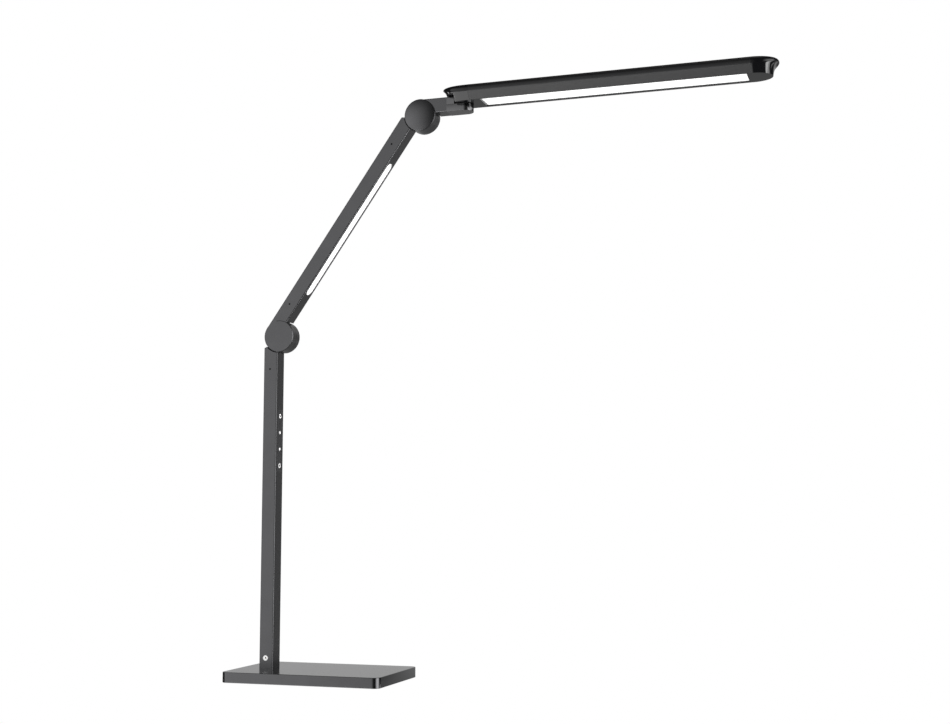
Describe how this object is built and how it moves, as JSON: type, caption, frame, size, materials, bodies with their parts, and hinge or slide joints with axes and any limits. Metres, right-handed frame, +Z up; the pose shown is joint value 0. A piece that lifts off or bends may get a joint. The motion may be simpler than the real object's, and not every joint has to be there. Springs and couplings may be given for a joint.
{
  "type": "desk lamp",
  "caption": "Folding LED desk lamp with a flat rectangular base, square post, swing arm with its own light strip and a long light head on friction elbows.",
  "frame": {"origin": "middle of the base's underside, on the table", "axes": "+Z up, +X from the post towards the way the head reaches, +Y along the elbows' axes to the far side"},
  "size_m": [0.6556, 0.128, 0.7084],
  "materials": {
    "graphite_paint": "fine satin powder coat",
    "rubber": "matt moulded rubber",
    "anodised": "satin dark grey anodised",
    "cast_dark": "satin dark grey painted casting",
    "plain_alu": "plain machined",
    "steel": "plain zinc-plated steel",
    "black_steel": "blackened steel",
    "brass": "plain turned brass",
    "friction_plastic": "plain moulded, low-friction",
    "touch_black": "smooth black touch surface",
    "gloss_black": "glossy black lacquered moulding",
    "matt_black": "fine satin moulded",
    "shell_black": "satin black anodised extrusion",
    "light_white": "opal diffusing cover",
    "symbol_white": "opal light guide",
    "board_green": "solder-masked circuit board",
    "board_white": "white solder-masked circuit board",
    "led_yellow": "phosphor-filled package",
    "part_black": "moulded electronic components",
    "wire_red": "soft wire insulation"
  },
  "bodies": {
    "stand": {"base_plate": "graphite_paint", "base_pad": "rubber", "post_foot": "plain_alu", "foot_screws": "steel", "post_tube": "anodised", "touch_panel": "touch_black", "touch_symbols": "symbol_white", "touch_board": "board_green", "symbol_leds": "led_yellow", "inlet_ring": "symbol_white", "inlet_body": "matt_black", "inlet_pin": "brass", "post_leads": "wire_red", "post_knuckle": "cast_dark", "post_set_screw": "black_steel", "lower_bush": "brass", "lower_friction_washer": "friction_plastic", "lower_end_plug": "matt_black"},
    "arm": {"arm_tube": "anodised", "arm_light_cover": "light_white", "arm_led_board": "board_white", "arm_leds": "led_yellow", "arm_leads": "wire_red", "arm_lower_knuckle": "cast_dark", "arm_upper_knuckle": "cast_dark", "arm_set_screws": "black_steel", "lower_pivot_screw": "steel", "lower_spring_washers": "steel", "upper_pivot_screw": "steel", "upper_spring_washers": "steel"},
    "neck": {"neck_knuckle": "cast_dark", "upper_bush": "brass", "upper_friction_washer": "friction_plastic", "elbow_cover": "cast_dark", "swivel_bracket": "gloss_black", "bracket_screws": "black_steel", "swivel_washer": "matt_black", "swivel_plug": "matt_black", "neck_lead": "wire_red"},
    "head": {"head_shell": "shell_black", "back_cap": "gloss_black", "front_cap": "gloss_black", "head_light_cover": "light_white", "head_led_board": "board_white", "head_leds": "led_yellow", "driver_board": "board_green", "driver_parts": "part_black", "head_leads": "wire_red", "swivel_block": "plain_alu", "block_screws": "steel", "swivel_screw": "steel", "swivel_spring_washer": "steel"}
  },
  "joints": [
    {"name": "elbow_lower", "type": "hinge", "parent": "stand", "child": "arm", "pos_m": [-0.057, 0, 0.4157], "axis": [0, 1, 0], "range_deg": [-35, 55]},
    {"name": "elbow_upper", "type": "hinge", "parent": "arm", "child": "neck", "pos_m": [0.1274, 0, 0.67906], "axis": [0, 1, 0], "range_deg": [-55, 80]},
    {"name": "head_swivel", "type": "hinge", "parent": "neck", "child": "head", "pos_m": [0.1824, 0, 0.68986], "axis": [0, 0, 1], "range_deg": [-20, 20]}
  ]
}
